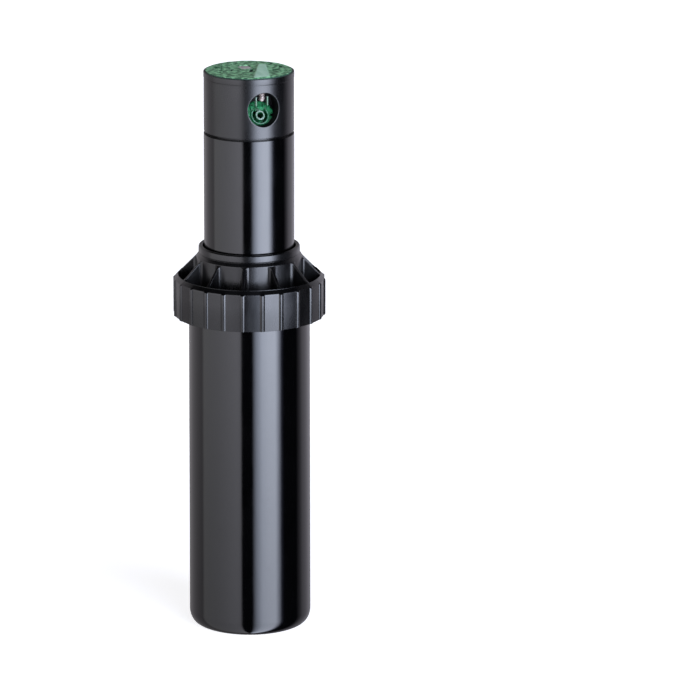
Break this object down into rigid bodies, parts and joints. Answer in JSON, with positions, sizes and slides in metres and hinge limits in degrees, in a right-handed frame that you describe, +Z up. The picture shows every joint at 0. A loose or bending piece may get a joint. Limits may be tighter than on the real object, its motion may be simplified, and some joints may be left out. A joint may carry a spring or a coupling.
{
  "type": "pop up sprinkler",
  "caption": "Black pop-up gear-driven lawn sprinkler: buried case, ribbed cap, riser popped up, turret with green nozzle and cover",
  "frame": {"origin": "middle of the flat base of the case", "axes": "+Z up along the riser, -Y the way the nozzle faces at rest"},
  "size_m": [0.076, 0.076, 0.284],
  "materials": {
    "case_plastic": "glossy black",
    "cap_plastic": "glossy black, ribbed",
    "riser_plastic": "glossy black",
    "turret_plastic": "glossy black",
    "nozzle_plastic": "moulded green plastic",
    "cover_rubber": "soft green rubber",
    "seal_rubber": "black rubber",
    "spring_steel": "drawn wire",
    "steel": "turned stainless steel",
    "white_plastic": "moulded acetal",
    "grey_plastic": "moulded gear plastic"
  },
  "bodies": {
    "case": {"body_case": "case_plastic", "body_cap": "cap_plastic", "wiper_seal": "seal_rubber", "seal_retainer": "white_plastic", "cap_seal_ring": "seal_rubber"},
    "riser": {"riser_tube": "riser_plastic", "retraction_spring": "spring_steel", "filter_screen": "white_plastic", "stator": "white_plastic", "bypass_keeper": "steel", "gear_post_a": "steel", "gear_post_b": "steel", "gearbox_housing": "grey_plastic", "gearbox_cover": "grey_plastic", "shaft_seal": "seal_rubber", "turret_bearing": "white_plastic", "stem_seal": "seal_rubber", "thrust_washer": "steel", "bypass_spring": "spring_steel"},
    "bypass": {"bypass_disc": "seal_rubber"},
    "turbine": {"turbine_rotor": "white_plastic", "turbine_shaft": "steel", "turbine_pinion": "grey_plastic"},
    "gear_one": {"gear_1": "grey_plastic"},
    "gear_two": {"gear_2": "grey_plastic"},
    "gear_three": {"gear_3": "grey_plastic"},
    "turret": {"output_gear": "grey_plastic", "turret_stem": "white_plastic", "turret_housing": "turret_plastic", "nozzle": "nozzle_plastic", "top_cover": "cover_rubber"},
    "arc_ring_body": {"arc_ring": "white_plastic"},
    "adjuster": {"arc_adjuster": "white_plastic"},
    "screw": {"radius_screw": "steel"},
    "reverser": {"selector_rod": "steel", "trip_lever": "white_plastic", "port_selector": "white_plastic"}
  },
  "joints": [
    {"name": "riser_slide", "type": "slide", "parent": "case", "child": "riser", "axis": [0, 0, 1], "range_m": [-0.088, 0], "deforming": ["retraction_spring"]},
    {"name": "turret_turn", "type": "hinge", "parent": "riser", "child": "turret", "pos_m": [0, 0, 0.2525], "axis": [0, 0, 1], "range_deg": [-180, 180]},
    {"name": "gear_three_spin", "type": "hinge", "parent": "riser", "child": "gear_three", "pos_m": [0.008, 0, 0.18], "axis": [0, 0, 1], "continuous": true},
    {"name": "gear_two_spin", "type": "hinge", "parent": "riser", "child": "gear_two", "pos_m": [0.004, 0.00693, 0.18], "axis": [0, 0, 1], "continuous": true},
    {"name": "gear_one_spin", "type": "hinge", "parent": "riser", "child": "gear_one", "pos_m": [0.008, 0, 0.18], "axis": [0, 0, 1], "continuous": true},
    {"name": "turbine_spin", "type": "hinge", "parent": "riser", "child": "turbine", "pos_m": [0, 0, 0.1705], "axis": [0, 0, 1], "continuous": true},
    {"name": "arc_ring_turn", "type": "hinge", "parent": "turret", "child": "arc_ring_body", "pos_m": [0, 0, 0.2518], "axis": [0, 0, 1], "range_deg": [0, 320]},
    {"name": "arc_adjuster_turn", "type": "hinge", "parent": "turret", "child": "adjuster", "pos_m": [-0.00905, 0.00905, 0.252], "axis": [0, 0, 1], "range_deg": [0, 1600]},
    {"name": "radius_screw_feed", "type": "slide", "parent": "turret", "child": "screw", "axis": [0, 0, 1], "range_m": [-0.005, 0.001]},
    {"name": "reverser_toggle", "type": "hinge", "parent": "riser", "child": "reverser", "pos_m": [0, 0.01815, 0.2], "axis": [0, 0, 1], "range_deg": [-12, 12]},
    {"name": "bypass_lift", "type": "slide", "parent": "riser", "child": "bypass", "axis": [0, 0, 1], "range_m": [0, 0.0015], "stiffness_N_per_m": 300, "springref_m": -0.002, "deforming": ["bypass_spring"]}
  ],
  "couplings": [
    {"joint": "gear_three_spin", "follows": "turret_turn", "ratio": -3},
    {"joint": "gear_two_spin", "follows": "turret_turn", "ratio": 9},
    {"joint": "gear_one_spin", "follows": "turret_turn", "ratio": -27},
    {"joint": "turbine_spin", "follows": "turret_turn", "ratio": 81},
    {"joint": "arc_adjuster_turn", "follows": "arc_ring_turn", "ratio": 5}
  ]
}
